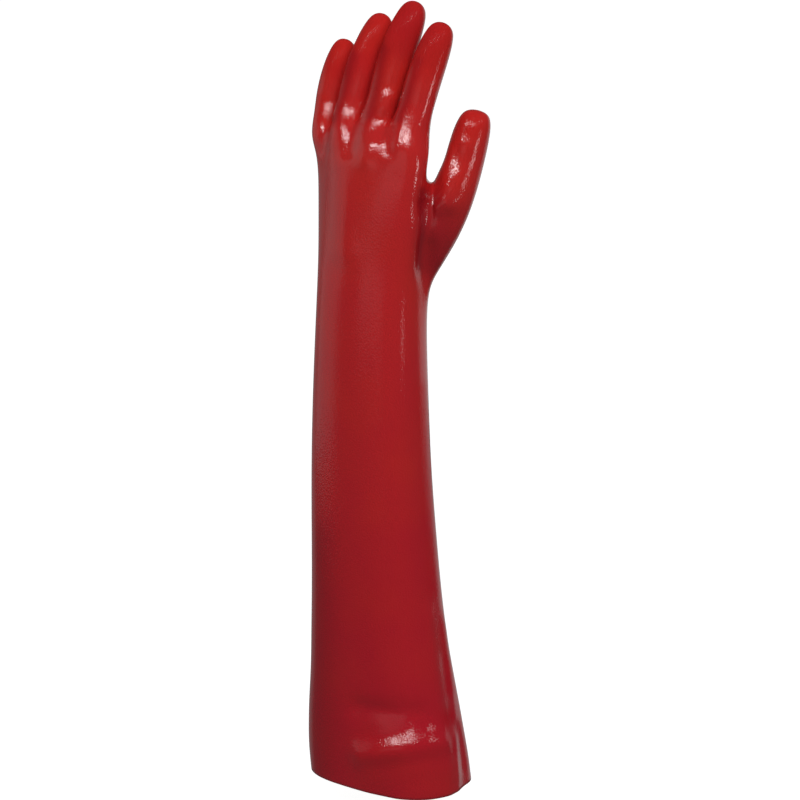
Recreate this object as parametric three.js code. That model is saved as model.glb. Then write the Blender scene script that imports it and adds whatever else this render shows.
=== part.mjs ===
// A long chemical-resistant glove for the left hand, dipped in one piece: a hand with four fingers and a
// thumb on a sleeve that reaches up to the elbow. It stands as it is worn, fingers up, on its open cuff.
// +Z runs from the cuff to the fingertips, -Y is the back of the hand and +X the side of the thumb.
// The origin is the middle of the cuff's opening, where the arm goes in. Lengths are in millimetres.
//
// A coarse cage of rings is laid out from the sizes below, smoothed once by Catmull-Clark subdivision,
// dented and folded, and then given its wall. The cage's columns start at the thumb's side and run round
// by the palm to the little finger's side, and back by the back of the hand.
import * as THREE from "three";

// Driving dimensions
const sleeveLength = 382;
const palmLength = 121;
const wall = 1.4;
const cuffWidth = 129;
const cuffDepth = 89;
const wristWidth = 83;
const wristDepth = 66;
const palmWidth = 106;
const palmDepth = 49;
const knuckleDepth = 34;
const fingerLength = 110;
const fingerWidth = 27.5;
const fingerDepth = 26;
const thumbLength = 140;
const thumbWidth = 29;
const thumbDepth = 28;

// How far below a finger's stand its own axis starts and the row of knuckles lies, and how far above it the
// web beside the longest finger reaches
const webDepth = 9;
const knuckleDrop = 1;
const webRise = 14;

// A ring of the sleeve for each row. rise is its height as a share of sleeveLength, and flare says how far
// it is from the wrist's size, 0, to the cuff's, 1. shiftX and shiftY move its middle, as shares of
// cuffWidth and cuffDepth, and square is the exponent of its oval.
const sleeveRings = [
  { rise: 0.0, flare: 1.0, shiftX: 0.0, shiftY: 0.0, square: 2.8 },
  { rise: 0.05, flare: 0.99, shiftX: -0.016, shiftY: -0.007, square: 2.8 },
  { rise: 0.1, flare: 0.92, shiftX: -0.029, shiftY: -0.014, square: 2.75 },
  { rise: 0.155, flare: 0.83, shiftX: -0.04, shiftY: -0.021, square: 2.7 },
  { rise: 0.22, flare: 0.7, shiftX: -0.05, shiftY: -0.029, square: 2.6 },
  { rise: 0.3, flare: 0.58, shiftX: -0.07, shiftY: -0.038, square: 2.5 },
  { rise: 0.4, flare: 0.47, shiftX: -0.084, shiftY: -0.047, square: 2.4 },
  { rise: 0.52, flare: 0.37, shiftX: -0.098, shiftY: -0.056, square: 2.4 },
  { rise: 0.66, flare: 0.26, shiftX: -0.114, shiftY: -0.063, square: 2.4 },
  { rise: 0.82, flare: 0.16, shiftX: -0.112, shiftY: -0.07, square: 2.4 },
  { rise: 1.0, flare: 0.02, shiftX: -0.105, shiftY: -0.07, square: 2.4 },
];

// A ring of the palm for each row. rise is a share of palmLength above the wrist. spread says how far the
// ring is from the wrist's width, 0, to the palm's, 1, thin how far from the wrist's depth to the palm's,
// and form how far its outline is from an oval, 0, to the row of knuckles, 1. shift moves it to the
// thumb's side, as a share of palmWidth, and turn is in degrees about +Z.
const palmRings = [
  { rise: 0.24, spread: 0.38, thin: 0.5, form: 0.03, shift: 0.0, turn: -5 },
  { rise: 0.48, spread: 0.7, thin: 0.8, form: 0.1, shift: 0.005, turn: -9 },
  { rise: 0.71, spread: 0.94, thin: 0.95, form: 0.32, shift: 0.014, turn: -11 },
  { rise: 0.83, spread: 1.06, thin: 1.0, form: 0.66, shift: 0.02, turn: -8 },
];
const palmSquare = 2.1;

// The fingers, from the thumb's side. length and width are shares of the middle finger's. place is the
// knuckle's place across the palm, as a share of palmWidth, rise lifts it, as a share of palmLength, and
// back sets it toward the palm, as a share of knuckleDepth. lean and curl move the tip to the thumb's side
// and toward the palm, and bow swells the finger's middle that way, all as shares of its length.
const fingers = [
  { length: 0.885, width: 0.98, place: 0.324, rise: 0.0, back: 0.0, lean: 0.225, curl: 0.2, bow: -0.01 },
  { length: 1.0, width: 1.0, place: 0.064, rise: 0.02, back: 0.02, lean: 0.21, curl: 0.2, bow: -0.02 },
  { length: 0.93, width: 0.95, place: -0.211, rise: 0.0, back: 0.06, lean: 0.205, curl: 0.22, bow: -0.03 },
  { length: 0.755, width: 0.87, place: -0.432, rise: -0.03, back: 0.25, lean: 0.09, curl: 0.2, bow: -0.04 },
];

// How far the first knuckle stands out beyond its finger, as a share of the finger's half width
const knuckleSwell = 1.2;

// The valley between two knuckles, as a share of the knuckles' depth, and how much lower than the palm's
// side it starts on the back of the hand
const valley = 0.72;
const valleyDrop = 1.3;

// A ring of each finger for each row: along is a share of its length and wide a share of its width.
const fingerRings = [
  { along: 0.28, wide: 0.95 },
  { along: 0.43, wide: 0.99 },
  { along: 0.6, wide: 0.99 },
  { along: 0.8, wide: 0.93 },
  { along: 0.95, wide: 0.68 },
];

// A ring of the thumb for each row. out, back and up place its middle from the palm's edge beside the
// wrist, as shares of thumbLength. tilt is its axis from upright in degrees, and wide and deep are shares
// of the thumb's sizes.
const thumbRings = [
  { out: -0.07, back: 0.155, up: 0.357, tilt: 88, wide: 2.35, deep: 1.3 },
  { out: -0.012, back: 0.17, up: 0.461, tilt: 70, wide: 1.76, deep: 1.2 },
  { out: 0.045, back: 0.187, up: 0.571, tilt: 50, wide: 1.27, deep: 1.08 },
  { out: 0.075, back: 0.216, up: 0.7, tilt: 30, wide: 1.04, deep: 1.0 },
  { out: 0.098, back: 0.244, up: 0.85, tilt: 14, wide: 0.99, deep: 0.95 },
  { out: 0.128, back: 0.259, up: 0.972, tilt: 12, wide: 0.8, deep: 0.76 },
];

// The thumb leans this many degrees from the hand's side toward the palm, and ends this share of its width
// above its last ring.
const thumbTurn = 36;
const thumbCap = 0.16;

// The sleeve's dents and folds, each a line from one place to another: a hollow across the cuff and the
// swell below it, and a fold down the thumb's side with a hollow behind it. rise is a share of sleeveLength
// and turn the place around the sleeve in degrees, with 270 the middle of the back of the hand. reach is
// the fold's half width as a share of cuffWidth, and push its height as a share of cuffDepth.
const folds = [
  { rise: 0.178, turn: 285, rise2: 0.185, turn2: 330, reach: 0.09, push: -0.03 },
  { rise: 0.12, turn: 290, rise2: 0.13, turn2: 338, reach: 0.09, push: 0.024 },
  { rise: 0.36, turn: 354, rise2: 0.0, turn2: 350, reach: 0.06, push: 0.015 },
  { rise: 0.26, turn: 370, rise2: 0.0, turn2: 370, reach: 0.07, push: -0.014 },
];

// The cage's columns: two on either side of the hand for each finger, and two at either edge. A finger's
// ring has three columns of either side and a web or edge between them.
const columns = 4 * (fingers.length + 1);
const steps = [1, 2, 3];
const fingerSides = 2 * (steps.length + 1);

// The thumb grows out of an opening in the palm's side, two columns wide and three rows high.
const thumbColumns = [1, 2];
const thumbRows = 3;

const degrees = Math.PI / 180;
const mix = (from, to, share) => from + (to - from) * share;

// A closed cubic B-spline with this many points lies inside them. This is how much larger to lay them out.
function fullness(sides) {
  return 3 / (2 + Math.cos((2 * Math.PI) / sides));
}

// A point on a squared oval at an angle
function ovalPoint(angle, halfWidth, halfDepth, square) {
  const c = Math.cos(angle);
  const s = Math.sin(angle);
  const power = 2 / square;
  const x = halfWidth * Math.sign(c) * Math.abs(c) ** power;
  const y = halfDepth * Math.sign(s) * Math.abs(s) ** power;
  return new THREE.Vector3(x, y, 0);
}

// The cage: points, and faces of four points each that turn anticlockwise seen from outside.
class Cage {
  constructor() {
    this.points = [];
    this.faces = [];
  }

  add(point) {
    this.points.push(point);
    return this.points.length - 1;
  }

  // The same cage without the points that no face uses
  trimmed() {
    const trimmed = new Cage();
    const places = new Map();
    const placeOf = (i) => {
      if (!places.has(i)) places.set(i, trimmed.add(this.points[i]));
      return places.get(i);
    };
    trimmed.faces = this.faces.map((face) => face.map(placeOf));
    return trimmed;
  }

  // Faces between two rings with as many points, in the same order. skip leaves some columns open.
  band(lower, upper, skip = () => false) {
    lower.forEach((_, i) => {
      const next = (i + 1) % lower.length;
      if (!skip(i)) this.faces.push([lower[i], lower[next], upper[next], upper[i]]);
    });
  }
}

const zAxis = new THREE.Vector3(0, 0, 1);

// The middle of the wrist
const wristMiddle = new THREE.Vector3(
  sleeveRings.at(-1).shiftX * cuffWidth,
  sleeveRings.at(-1).shiftY * cuffDepth,
  sleeveLength,
);

function sleeveRing(row) {
  const halfWidth = (mix(wristWidth, cuffWidth, row.flare) / 2) * fullness(columns);
  const halfDepth = (mix(wristDepth, cuffDepth, row.flare) / 2) * fullness(columns);
  const middle = new THREE.Vector3(row.shiftX * cuffWidth, row.shiftY * cuffDepth, row.rise * sleeveLength);
  return Array.from({ length: columns }, (_, i) => {
    return ovalPoint((i / columns) * 2 * Math.PI, halfWidth, halfDepth, row.square).add(middle);
  });
}

// Where the fingers stand, from the thumb's side, measured from the middle of the wrist
const stands = fingers.map((finger) => ({
  x: finger.place * palmWidth,
  half: (finger.width * fingerWidth) / 2,
  y: finger.back * knuckleDepth,
  z: (1 + finger.rise) * palmLength,
}));

// The place between two fingers, halfway from the edge of one to the edge of the other
const gaps = stands.slice(0, -1).map((stand, i) => {
  const next = stands[i + 1];
  const x = (stand.x - stand.half + next.x + next.half) / 2;
  return new THREE.Vector3(x, (stand.y + next.y) / 2, (stand.z + next.z) / 2);
});

// The row of knuckles, one point for each column, measured from the middle of the wrist
function knuckleRing() {
  const half = (knuckleDepth / 2) * fullness(fingerSides);
  const ring = new Array(columns);
  const place = (column, x, y, z) => {
    ring[column] = new THREE.Vector3(x, y, z);
  };
  stands.forEach((stand, i) => {
    place(2 * i + 2, stand.x, stand.y + half, stand.z - knuckleDrop);
    place(columns - 2 * i - 2, stand.x, stand.y - half, stand.z - knuckleDrop);
    const gap = gaps[i];
    if (!gap) return;
    place(2 * i + 3, gap.x, gap.y + half * valley, gap.z - knuckleDrop);
    place(columns - 2 * i - 3, gap.x, gap.y - half * valley, gap.z - knuckleDrop * valleyDrop);
  });
  const corner = Math.SQRT1_2;
  const ends = [
    { stand: stands[0], side: knuckleSwell, end: 0, palm: 1, back: columns - 1 },
    { stand: stands.at(-1), side: -1, end: columns / 2, palm: columns / 2 - 1, back: columns / 2 + 1 },
  ];
  for (const { stand, side, end, palm, back } of ends) {
    const z = stand.z - knuckleDrop;
    place(end, stand.x + side * stand.half * fullness(columns), stand.y, z);
    place(palm, stand.x + side * stand.half * corner, stand.y + half * corner, z);
    place(back, stand.x + side * stand.half * corner, stand.y - half * corner, z);
  }
  return ring;
}

function palmRing(row, knuckles) {
  const halfWidth = (mix(wristWidth, palmWidth, row.spread) / 2) * fullness(columns);
  const halfDepth = (mix(wristDepth, palmDepth, row.thin) / 2) * fullness(columns);
  const rise = row.rise * palmLength;
  return knuckles.map((knuckle, i) => {
    const oval = ovalPoint((i / columns) * 2 * Math.PI, halfWidth, halfDepth, palmSquare);
    const wide = (knuckle.x * 2 * halfWidth) / palmWidth;
    const x = mix(oval.x, wide, row.form) + row.shift * palmWidth;
    const y = mix(oval.y, knuckle.y, row.form * row.form);
    const z = rise + (knuckle.z - palmLength + webDepth) * row.form;
    return new THREE.Vector3(x, y, z).applyAxisAngle(zAxis, row.turn * degrees).add(wristMiddle);
  });
}

// A ring of points about an axis. across and front are the ring's own directions.
function axisRing(sides, middle, across, front, halfAcross, halfFront) {
  return Array.from({ length: sides }, (_, i) => {
    const angle = (i / sides) * 2 * Math.PI;
    return middle
      .clone()
      .addScaledVector(across, halfAcross * Math.cos(angle))
      .addScaledVector(front, halfFront * Math.sin(angle));
  });
}

// One finger on its ring of knuckle points, closed by faces round the point of its tip
function addFinger(cage, finger, stand, base) {
  const length = finger.length * fingerLength;
  const start = new THREE.Vector3(stand.x, stand.y, stand.z - webDepth).add(wristMiddle);
  const tip = new THREE.Vector3(finger.lean * length, finger.curl * length, length);
  tip.setLength(length);
  const spine = (share) => {
    const point = start.clone().addScaledVector(tip, share);
    point.x += finger.bow * length * 4 * share * (1 - share);
    point.y += tip.y * (share * share - share);
    return point;
  };
  const nearby = 0.01;
  let lower = base;
  for (const row of fingerRings) {
    const middle = spine(row.along);
    const axis = spine(row.along + nearby).sub(spine(row.along - nearby)).normalize();
    const palmward = new THREE.Vector3(0, 1, 0).addScaledVector(axis, -axis.y).normalize();
    const across = palmward.clone().cross(axis);
    const halfWidth = (finger.width * fingerWidth * row.wide * fullness(fingerSides)) / 2;
    const halfDepth = (finger.width * fingerDepth * row.wide * fullness(fingerSides)) / 2;
    const ring = axisRing(fingerSides, middle, across, palmward, halfWidth, halfDepth);
    const upper = ring.map((point) => cage.add(point));
    cage.band(lower, upper);
    lower = upper;
  }
  const point = cage.add(spine(1.0));
  for (let i = 1; i < fingerSides; i += 2) {
    cage.faces.push([lower[i - 1], lower[i], lower[(i + 1) % fingerSides], point]);
  }
}

// The thumb on the ring of points around its opening in the palm
function addThumb(cage, opening) {
  const sides = opening.length;
  let lower = opening;
  const outward = new THREE.Vector3(Math.cos(thumbTurn * degrees), Math.sin(thumbTurn * degrees), 0);
  const front = new THREE.Vector3(outward.y, -outward.x, 0);
  const root = new THREE.Vector3(palmWidth / 2, 0, 0).add(wristMiddle);
  const axis = new THREE.Vector3();
  for (const row of thumbRings) {
    const tilt = row.tilt * degrees;
    axis.set(0, 0, Math.cos(tilt)).addScaledVector(outward, Math.sin(tilt));
    const across = axis.clone().cross(front).negate();
    const middle = new THREE.Vector3(row.out, row.back, row.up).multiplyScalar(thumbLength).add(root);
    const halfWidth = ((thumbWidth * row.wide) / 2) * fullness(sides);
    const halfDepth = ((thumbDepth * row.deep) / 2) * fullness(sides);
    const ring = axisRing(sides, middle, across, front, halfWidth, halfDepth);
    const upper = ring.map((point) => cage.add(point));
    cage.band(lower, upper);
    lower = upper;
  }
  const capPoint = (a, b) => {
    const point = cage.points[lower[a]].clone().lerp(cage.points[lower[b]], 0.5);
    return cage.add(point.addScaledVector(axis, thumbWidth * thumbCap));
  };
  const near = capPoint(2, 8);
  const far = capPoint(3, 7);
  cage.faces.push([lower[0], lower[1], lower[2], near]);
  cage.faces.push([lower[2], lower[3], far, near]);
  cage.faces.push([lower[3], lower[4], lower[5], far]);
  cage.faces.push([lower[5], lower[6], lower[7], far]);
  cage.faces.push([lower[7], lower[8], near, far]);
  cage.faces.push([lower[8], lower[9], lower[0], near]);
}

function gloveCage() {
  const cage = new Cage();
  const keep = (ring) => ring.map((point) => cage.add(point));
  const knuckles = knuckleRing();
  const sleeve = sleeveRings.map((row) => keep(sleeveRing(row)));
  const palm = [sleeve.at(-1), ...palmRings.map((row) => keep(palmRing(row, knuckles)))];
  palm.push(keep(knuckles.map((point) => point.clone().add(wristMiddle))));
  for (let i = 1; i < sleeve.length; i += 1) cage.band(sleeve[i - 1], sleeve[i]);
  for (let i = 1; i < palm.length; i += 1) {
    cage.band(palm[i - 1], palm[i], (column) => i <= thumbRows && thumbColumns.includes(column));
  }
  const top = palm.at(-1);

  // The web between two fingers is one point halfway through the hand, above the knuckles' row and higher
  // by long fingers.
  const webs = gaps.map((gap, i) => {
    const lift = webRise * Math.min(fingers[i].length, fingers[i + 1].length);
    return cage.add(new THREE.Vector3(gap.x, gap.y, gap.z + lift).add(wristMiddle));
  });
  fingers.forEach((finger, i) => {
    const right = i === 0 ? top[0] : webs[i - 1];
    const left = i === fingers.length - 1 ? top[columns / 2] : webs[i];
    const palmSide = steps.map((step) => top[2 * i + step]);
    const backSide = steps.map((step) => top[columns - 2 * i - step]).reverse();
    addFinger(cage, finger, stands[i], [right, ...palmSide, left, ...backSide]);
  });

  // The edge of the thumb's opening, from the middle of its top round by the back of the hand
  const [back, middle] = thumbColumns;
  const rows = palm.slice(0, thumbRows + 1);
  const up = rows.map((ring) => ring[middle + 1]);
  const down = rows.map((ring) => ring[back]).reverse();
  addThumb(cage, [rows.at(-1)[middle], ...down, rows[0][middle], ...up]);
  return cage.trimmed();
}

// One step of Catmull-Clark subdivision. An open edge keeps its own smooth line.
function subdivide(cage) {
  const next = new Cage();
  const sum = (points) => points.reduce((total, point) => total.add(point), new THREE.Vector3());
  const mean = (points) => sum(points).divideScalar(points.length);
  const at = (i) => cage.points[i];
  const facePoints = cage.faces.map((face) => mean(face.map(at)));
  const edgeTable = new Map();
  const edgeKey = (a, b) => (a < b ? `${a},${b}` : `${b},${a}`);
  cage.faces.forEach((face, f) => {
    face.forEach((a, i) => {
      const b = face[(i + 1) % face.length];
      const key = edgeKey(a, b);
      if (!edgeTable.has(key)) edgeTable.set(key, { ends: [a, b], faces: [] });
      edgeTable.get(key).faces.push(f);
    });
  });
  const around = cage.points.map(() => ({ faces: [], edges: [] }));
  cage.faces.forEach((face, f) => face.forEach((a) => around[a].faces.push(f)));
  for (const edge of edgeTable.values()) {
    edge.middle = mean(edge.ends.map(at));
    edge.open = edge.faces.length === 1;
    edge.ends.forEach((a) => around[a].edges.push(edge));
  }
  cage.points.forEach((point, a) => {
    const open = around[a].edges.filter((edge) => edge.open);
    if (open.length) {
      next.add(mean(open.map((edge) => edge.middle)).add(point).divideScalar(2));
      return;
    }
    const n = around[a].edges.length;
    const faceMean = mean(around[a].faces.map((f) => facePoints[f]));
    const edgeMean = mean(around[a].edges.map((edge) => edge.middle));
    next.add(faceMean.addScaledVector(edgeMean, 2).addScaledVector(point, n - 3).divideScalar(n));
  });
  const faceIndex = facePoints.map((point) => next.add(point));
  for (const edge of edgeTable.values()) {
    const parts = edge.open ? [edge.middle] : [edge.middle, mean(edge.faces.map((f) => facePoints[f]))];
    edge.index = next.add(mean(parts));
  }
  cage.faces.forEach((face, f) => {
    face.forEach((a, i) => {
      const before = face[(i + face.length - 1) % face.length];
      const after = face[(i + 1) % face.length];
      next.faces.push([
        a,
        edgeTable.get(edgeKey(a, after)).index,
        faceIndex[f],
        edgeTable.get(edgeKey(before, a)).index,
      ]);
    });
  });
  return next;
}

// The direction out of the surface at each point
function normalsOf(cage) {
  const normals = cage.points.map(() => new THREE.Vector3());
  for (const face of cage.faces) {
    const [a, b, c, d] = face.map((i) => cage.points[i]);
    const out = c.clone().sub(a).cross(d.clone().sub(b));
    face.forEach((i) => normals[i].add(out));
  }
  return normals.map((normal) => normal.normalize());
}

// The middle of the sleeve at a height
function sleeveMiddle(rise) {
  const upper = Math.max(1, sleeveRings.findIndex((row) => row.rise >= rise));
  const [a, b] = [sleeveRings[upper - 1], sleeveRings[upper]];
  const share = (rise - a.rise) / (b.rise - a.rise);
  return { x: mix(a.shiftX, b.shiftX, share) * cuffWidth, y: mix(a.shiftY, b.shiftY, share) * cuffDepth };
}

// How far the folds push a point of the sleeve along its normal
function foldHeight(point) {
  const rise = point.z / sleeveLength;
  if (rise > 1) return 0;
  const middle = sleeveMiddle(rise);
  const dx = point.x - middle.x;
  const dy = point.y - middle.y;
  const radius = Math.hypot(dx, dy);
  const turn = Math.atan2(dy, dx) / degrees;
  let height = 0;
  for (const fold of folds) {
    const around = ((turn - fold.turn + 900) % 360) - 180;
    const place = new THREE.Vector2(around * degrees * radius, point.z - fold.rise * sleeveLength);
    const line = new THREE.Vector2(
      (fold.turn2 - fold.turn) * degrees * radius,
      (fold.rise2 - fold.rise) * sleeveLength,
    );
    const share = THREE.MathUtils.clamp(place.dot(line) / line.lengthSq(), 0, 1);
    const away = place.distanceTo(line.multiplyScalar(share)) / (fold.reach * cuffWidth);
    height += fold.push * cuffDepth * Math.exp(-away * away);
  }
  return height;
}

// Folds move the wall level, so that the cuff's edge stays flat.
function fold(cage) {
  const normals = normalsOf(cage);
  cage.points.forEach((point, i) => point.addScaledVector(normals[i].setZ(0), foldHeight(point)));
  return cage;
}

// The solid between the surface and the same surface moved in by the wall, closed at the open cuff
function shell(cage) {
  const normals = normalsOf(cage);
  const count = cage.points.length;
  const inner = cage.points.map((point, i) => point.clone().addScaledVector(normals[i], -wall));
  const used = new Set();
  for (const face of cage.faces) face.forEach((a, i) => used.add(`${a},${face[(i + 1) % 4]}`));
  const indices = [];
  const quad = (a, b, c, d) => indices.push(a, b, c, a, c, d);
  for (const [a, b, c, d] of cage.faces) {
    quad(a, b, c, d);
    quad(a + count, d + count, c + count, b + count);
  }
  for (const key of used) {
    const [a, b] = key.split(",").map(Number);
    if (used.has(`${b},${a}`)) continue;
    inner[a].z = cage.points[a].z;
    inner[b].z = cage.points[b].z;
    quad(b, a, a + count, b + count);
  }
  const geometry = new THREE.BufferGeometry().setFromPoints([...cage.points, ...inner]);
  geometry.setIndex(indices);
  return geometry;
}

const pvc = new THREE.MeshStandardMaterial({ color: 0xa3181d, roughness: 0.28, metalness: 0 });
const glove = new THREE.Mesh(shell(fold(subdivide(gloveCage()))), pvc);
glove.name = "glove_shell";

const model = new THREE.Group();
model.add(glove);

export default model;
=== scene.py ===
"""A long chemical-resistant glove for the left hand, dipped in PVC over a cotton jersey.

The glove is one shell. It starts as a ring at the open cuff, is extruded row by row up the sleeve and the
palm, and branches into a thumb and four fingers. The cage is then subdivided, dented and folded where the
soft coating gives, and given its wall. Lengths are in metres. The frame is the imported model's own: +Z from
the cuff to the fingertips, -Y out of the back of the hand and +X to the thumb's side.
"""
import logging
import math
from dataclasses import dataclass
from enum import Enum
from typing import Iterable, Sequence

import bmesh
import bpy
import numpy as np
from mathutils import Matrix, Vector
from mathutils.bvhtree import BVHTree
from mathutils.kdtree import KDTree


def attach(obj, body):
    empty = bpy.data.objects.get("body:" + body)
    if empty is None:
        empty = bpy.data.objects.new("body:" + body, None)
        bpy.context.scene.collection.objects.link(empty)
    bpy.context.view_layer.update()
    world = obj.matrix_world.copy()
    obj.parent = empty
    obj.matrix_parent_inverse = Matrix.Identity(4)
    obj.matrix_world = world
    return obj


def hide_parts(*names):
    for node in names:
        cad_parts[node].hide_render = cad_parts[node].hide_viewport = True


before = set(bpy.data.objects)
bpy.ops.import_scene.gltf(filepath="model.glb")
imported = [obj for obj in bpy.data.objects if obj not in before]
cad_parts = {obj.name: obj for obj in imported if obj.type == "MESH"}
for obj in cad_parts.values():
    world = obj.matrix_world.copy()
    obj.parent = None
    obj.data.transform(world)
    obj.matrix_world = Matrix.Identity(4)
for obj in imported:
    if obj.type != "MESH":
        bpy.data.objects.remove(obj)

LOG = logging.getLogger("glove")
MM = 0.001
GLOVE_NODE = "glove_shell"
BODY = "root"
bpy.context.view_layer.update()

# The photograph's width and height in pixels, and a whole turn in degrees
PICTURE = 800
TURN = 360

Places = list[Vector]


class Mark(Enum):
    """What is marked on the coat's points, painted shade and less gloss, by the attribute's name."""

    POOL = "painted_shade"
    DULL = "dull"


class Use(Enum):
    """What a light is for: it shows in the gloss alone, or lights the colour alone."""

    SHEEN = "sheen"
    FILL = "fill"


def mix(start: float, end: float, share: float) -> float:
    """The value a share of the way from start to end."""
    return start + (end - start) * share


def fullness(sides: int) -> float:
    """How much larger a ring of the cage is laid out than the round that its subdivision gives.

    Args:
        sides: the number of points in the ring.

    Returns:
        A factor on the ring's half sizes.
    """
    return 3 / (2 + math.cos(2 * math.pi / sides))


def linear(hex_colour: str) -> tuple[float, float, float, float]:
    """A colour for a shader from its sRGB hex value.

    Args:
        hex_colour: six hex digits, such as "9b1e21".

    Returns:
        Linear red, green, blue and an alpha of 1.
    """
    def channel(place: int) -> float:
        """One channel, by the curve of the sRGB standard."""
        value = int(hex_colour[place:place + 2], 16) / 255
        return value / 12.92 if value <= 0.04045 else ((value + 0.055) / 1.055) ** 2.4

    return channel(0), channel(2), channel(4), 1.0


def deselect_all() -> None:
    """Leaves object mode with nothing selected."""
    if bpy.context.object and bpy.context.object.mode != "OBJECT":
        bpy.ops.object.mode_set(mode="OBJECT")
    bpy.ops.object.select_all(action="DESELECT")


class Cage:
    """A mesh in edit mode that is shaped by extruding what lies at given places."""

    def __init__(self, name: str, ring: Places) -> None:
        """Starts the cage as a circle drawn out onto its first ring.

        Args:
            name: the object's name.
            ring: places of the first ring, by their angle round +Z.
        """
        deselect_all()
        bpy.ops.mesh.primitive_circle_add(vertices=len(ring), radius=1.0, fill_type="NOTHING")
        self.object = bpy.context.object
        self.object.name = name
        bpy.ops.object.mode_set(mode="EDIT")
        turns = [2 * math.pi * i / len(ring) for i in range(len(ring))]
        self.set_picked([Vector((math.cos(turn), math.sin(turn), 0)) for turn in turns], ring)

    def set_picked(self, before: Places, after: Places) -> None:
        """Moves the selected points.

        Args:
            before: where they are.
            after: where each of them goes.
        """
        mesh = bmesh.from_edit_mesh(self.object.data)
        tree = KDTree(len(before))
        for i, place in enumerate(before):
            tree.insert(place, i)
        tree.balance()
        for point in mesh.verts:
            if point.select:
                point.co = after[tree.find(point.co)[1]]
        bmesh.update_edit_mesh(self.object.data)

    def pick(self, places: Iterable[Vector]) -> None:
        """Selects some points, with the edges and faces between them, and nothing else.

        Args:
            places: where the points are.
        """
        bpy.ops.mesh.select_all(action="DESELECT")
        mesh = bmesh.from_edit_mesh(self.object.data)
        mesh.verts.ensure_lookup_table()
        tree = KDTree(len(mesh.verts))
        for point in mesh.verts:
            tree.insert(point.co, point.index)
        tree.balance()
        for place in places:
            mesh.verts[tree.find(place)[1]].select = True
        mesh.select_flush(True)
        bmesh.update_edit_mesh(self.object.data)

    def pull(self, before: Places, after: Places) -> Places:
        """Extrudes what lies between some points.

        Args:
            before: the points' places.
            after: the places of the new points.

        Returns:
            The new points' places.
        """
        self.pick(before)
        bpy.ops.mesh.extrude_region_move(TRANSFORM_OT_translate={"value": (0, 0, 0)})
        self.set_picked(before, after)
        return after

    def fill(self, corners: Places) -> None:
        """Closes one face between four points."""
        self.pick(corners)
        bpy.ops.mesh.edge_face_add()

    def finish(self) -> bpy.types.Object:
        """Turns every face outward and leaves edit mode.

        Returns:
            The cage's object.
        """
        bpy.ops.mesh.select_all(action="SELECT")
        bpy.ops.mesh.normals_make_consistent(inside=False)
        bpy.ops.object.mode_set(mode="OBJECT")
        return self.object


@dataclass(frozen=True)
class SleeveRow:
    """One ring of the sleeve: its height and size as shares, and its oval.

    rise is a share of the sleeve's length. flare is 0 at the wrist's size and 1 at the cuff's. shift_x and
    shift_y are shares of the cuff's width and depth, and square is the exponent of the oval.
    """

    rise: float
    flare: float
    shift_x: float
    shift_y: float
    square: float


@dataclass(frozen=True)
class PalmRow:
    """One ring of the palm.

    rise is a share of the palm's length above the wrist. spread and thin go from the wrist's width and
    depth, 0, to the palm's, 1. form goes from an oval, 0, to the row of knuckles, 1. shift is a share of the
    palm's width, and turn is in degrees about +Z.
    """

    rise: float
    spread: float
    thin: float
    form: float
    shift: float
    turn: float


@dataclass(frozen=True)
class Finger:
    """One finger, with its length and width as shares of the middle finger's.

    place is its knuckle's place across the palm, rise lifts it and back sets it toward the palm, as shares
    of the palm's width, its length and the knuckles' depth. lean and curl move the tip to the thumb's side
    and toward the palm, and bow swells the middle that way, as shares of the finger's length.
    """

    length: float
    width: float
    place: float
    rise: float
    back: float
    lean: float
    curl: float
    bow: float


@dataclass(frozen=True)
class ThumbRow:
    """One ring of the thumb.

    out, back and up place its middle from the palm's edge beside the wrist, as shares of the thumb's
    length. tilt is its axis from upright in degrees, and wide and deep are shares of the thumb's sizes.
    """

    out: float
    back: float
    up: float
    tilt: float
    wide: float
    deep: float


@dataclass(frozen=True)
class Fold:
    """A soft ridge or hollow of the sleeve along a line from one place to another.

    rise is a share of the sleeve's length and turn the place around it in degrees, with 270 the middle of
    the back of the hand. reach is its half width as a share of the cuff's width, and push its height as a
    share of the cuff's depth.
    """

    rise: float
    turn: float
    rise2: float
    turn2: float
    reach: float
    push: float


@dataclass(frozen=True)
class Stroke:
    """A soft rise or hollow along a line of the photograph, on the side that the photograph shows.

    start and end are pixels of the photograph. reach is the stroke's half width and push its height, both
    in millimetres. Where a stroke marks the coat instead, push is how strongly it does.
    """

    name: str
    start: tuple[float, float]
    end: tuple[float, float]
    reach: float
    push: float


SLEEVE_ROWS = (
    SleeveRow(0.0, 1.0, 0.0, 0.0, 2.8),
    SleeveRow(0.05, 0.99, -0.016, -0.007, 2.8),
    SleeveRow(0.1, 0.92, -0.029, -0.014, 2.75),
    SleeveRow(0.155, 0.83, -0.04, -0.021, 2.7),
    SleeveRow(0.22, 0.7, -0.05, -0.029, 2.6),
    SleeveRow(0.3, 0.58, -0.07, -0.038, 2.5),
    SleeveRow(0.4, 0.47, -0.084, -0.047, 2.4),
    SleeveRow(0.52, 0.37, -0.098, -0.056, 2.4),
    SleeveRow(0.66, 0.26, -0.114, -0.063, 2.4),
    SleeveRow(0.82, 0.16, -0.112, -0.07, 2.4),
    SleeveRow(1.0, 0.02, -0.105, -0.07, 2.4),
)
PALM_ROWS = (
    PalmRow(0.24, 0.38, 0.5, 0.03, 0.0, -5),
    PalmRow(0.48, 0.7, 0.8, 0.1, 0.005, -9),
    PalmRow(0.71, 0.94, 0.95, 0.32, 0.014, -11),
    PalmRow(0.83, 1.06, 1.0, 0.66, 0.02, -8),
)
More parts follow.
